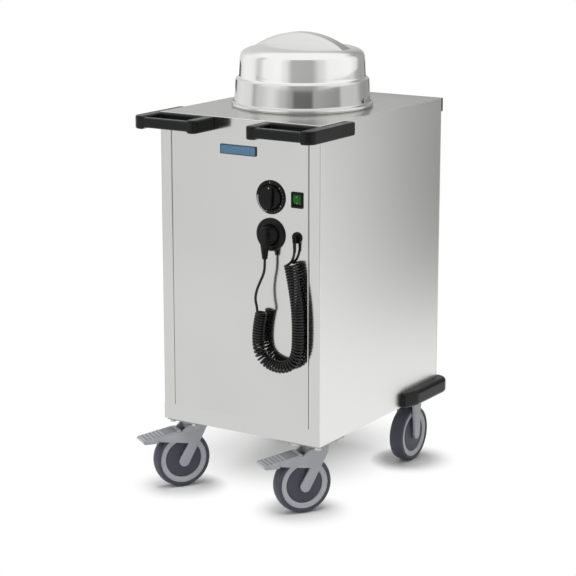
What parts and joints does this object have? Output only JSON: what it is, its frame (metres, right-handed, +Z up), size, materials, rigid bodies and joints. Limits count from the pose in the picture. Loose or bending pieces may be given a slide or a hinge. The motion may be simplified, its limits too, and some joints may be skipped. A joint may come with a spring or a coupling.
{
  "type": "plate dispenser cart",
  "caption": "Mobile heated plate dispenser: a steel cabinet with a spring-lift plate well under a lift-off round hood, push handles, corner bumpers, a parked curly mains cord and castors.",
  "frame": {"origin": "centre of the cabinet's footprint, at floor level", "axes": "+X to the right as seen from the front, +Y towards the back (away from the controls), +Z up"},
  "size_m": [0.4593, 0.59, 0.969],
  "materials": {
    "satin_steel": "satin",
    "polished_steel": "polished",
    "plain_steel": "mill finish",
    "heater_sheath": "heat-darkened",
    "black_plastic": "fine grain",
    "green_lens": "glossy, lit from behind",
    "black_cord": "satin",
    "zinc_steel": "bright zinc",
    "grey_plastic": "satin",
    "dark_plastic": "satin",
    "tread": "satin"
  },
  "bodies": {
    "cart": {"axle_rear_left": "zinc_steel", "axle_rear_right": "zinc_steel", "base_pan": "satin_steel", "bumper_left": "black_plastic", "bumper_right": "black_plastic", "cable_gland": "black_plastic", "castor_bolts": "zinc_steel", "castor_nuts": "zinc_steel", "castor_plate_left": "zinc_steel", "castor_plate_right": "zinc_steel", "curly_cord": "black_cord", "dial_ring": "black_plastic", "fork_rear_left": "grey_plastic", "fork_rear_right": "grey_plastic", "front_panel": "satin_steel", "gland_lead": "black_cord", "guide_rods": "plain_steel", "handle_left": "black_plastic", "handle_right": "black_plastic", "heater_tray": "plain_steel", "heating_ring": "heater_sheath", "kingpins": "zinc_steel", "lift_springs": "plain_steel", "parking_socket": "black_plastic", "plug": "black_plastic", "plug_lead": "black_cord", "rear_panel": "satin_steel", "side_panel_left": "satin_steel", "side_panel_right": "satin_steel", "switch_frame": "black_plastic", "thermostat": "black_plastic", "top_plate": "satin_steel", "well_tube": "polished_steel"},
    "hood": {"hood": "polished_steel"},
    "platform": {"plate_platform": "polished_steel", "lift_carriage": "plain_steel"},
    "knob": {"thermostat_knob": "black_plastic"},
    "rocker": {"switch_rocker": "green_lens"},
    "fork_right": {"fork_front_right": "grey_plastic", "axle_front_right": "zinc_steel"},
    "pedal_right": {"pedal_right": "grey_plastic"},
    "fork_left": {"fork_front_left": "grey_plastic", "axle_front_left": "zinc_steel"},
    "pedal_left": {"pedal_left": "grey_plastic"},
    "wheel_front_right": {"tyre_front_right": "tread", "rim_front_right": "grey_plastic", "guards_front_right": "dark_plastic"},
    "wheel_front_left": {"tyre_front_left": "tread", "rim_front_left": "grey_plastic", "guards_front_left": "dark_plastic"},
    "wheel_rear_right": {"tyre_rear_right": "tread", "rim_rear_right": "grey_plastic", "guards_rear_right": "dark_plastic"},
    "wheel_rear_left": {"tyre_rear_left": "tread", "rim_rear_left": "grey_plastic", "guards_rear_left": "dark_plastic"}
  },
  "joints": [
    {"name": "hood_lift", "type": "slide", "parent": "cart", "child": "hood", "axis": [0, 0, 1], "range_m": [0, 0.3]},
    {"name": "platform_lift", "type": "slide", "parent": "cart", "child": "platform", "axis": [0, 0, 1], "range_m": [-0.365, 0], "stiffness_N_per_m": 660, "springref_m": 0.05, "deforming": ["lift_springs"]},
    {"name": "thermostat_turn", "type": "hinge", "parent": "cart", "child": "knob", "pos_m": [0.0785, -0.249, 0.6623], "axis": [0, 1, 0], "range_deg": [-5, 265]},
    {"name": "switch_rock", "type": "hinge", "parent": "cart", "child": "rocker", "pos_m": [0.141, -0.249, 0.6623], "axis": [1, 0, 0], "range_deg": [-14, 0]},
    {"name": "swivel_right", "type": "hinge", "parent": "cart", "child": "fork_right", "pos_m": [0.154, -0.1945, 0.155], "axis": [0, 0, 1], "continuous": true},
    {"name": "roll_front_right", "type": "hinge", "parent": "fork_right", "child": "wheel_front_right", "pos_m": [0.13603, -0.22218, 0.0625], "axis": [-0.8387, 0.5446, 0], "continuous": true},
    {"name": "brake_right", "type": "hinge", "parent": "fork_right", "child": "pedal_right", "pos_m": [0.10673, -0.2673, 0.1141], "axis": [0.8387, -0.5446, 0], "range_deg": [0, 10]},
    {"name": "swivel_left", "type": "hinge", "parent": "cart", "child": "fork_left", "pos_m": [-0.154, -0.1945, 0.155], "axis": [0, 0, 1], "continuous": true},
    {"name": "roll_front_left", "type": "hinge", "parent": "fork_left", "child": "wheel_front_left", "pos_m": [-0.17197, -0.22218, 0.0625], "axis": [-0.8387, 0.5446, 0], "continuous": true},
    {"name": "brake_left", "type": "hinge", "parent": "fork_left", "child": "pedal_left", "pos_m": [-0.20128, -0.2673, 0.1141], "axis": [0.8387, -0.5446, 0], "range_deg": [0, 10]},
    {"name": "roll_rear_right", "type": "hinge", "parent": "cart", "child": "wheel_rear_right", "pos_m": [0.154, 0.198, 0.0625], "axis": [1, 0, 0], "continuous": true},
    {"name": "roll_rear_left", "type": "hinge", "parent": "cart", "child": "wheel_rear_left", "pos_m": [-0.154, 0.198, 0.0625], "axis": [1, 0, 0], "continuous": true}
  ]
}
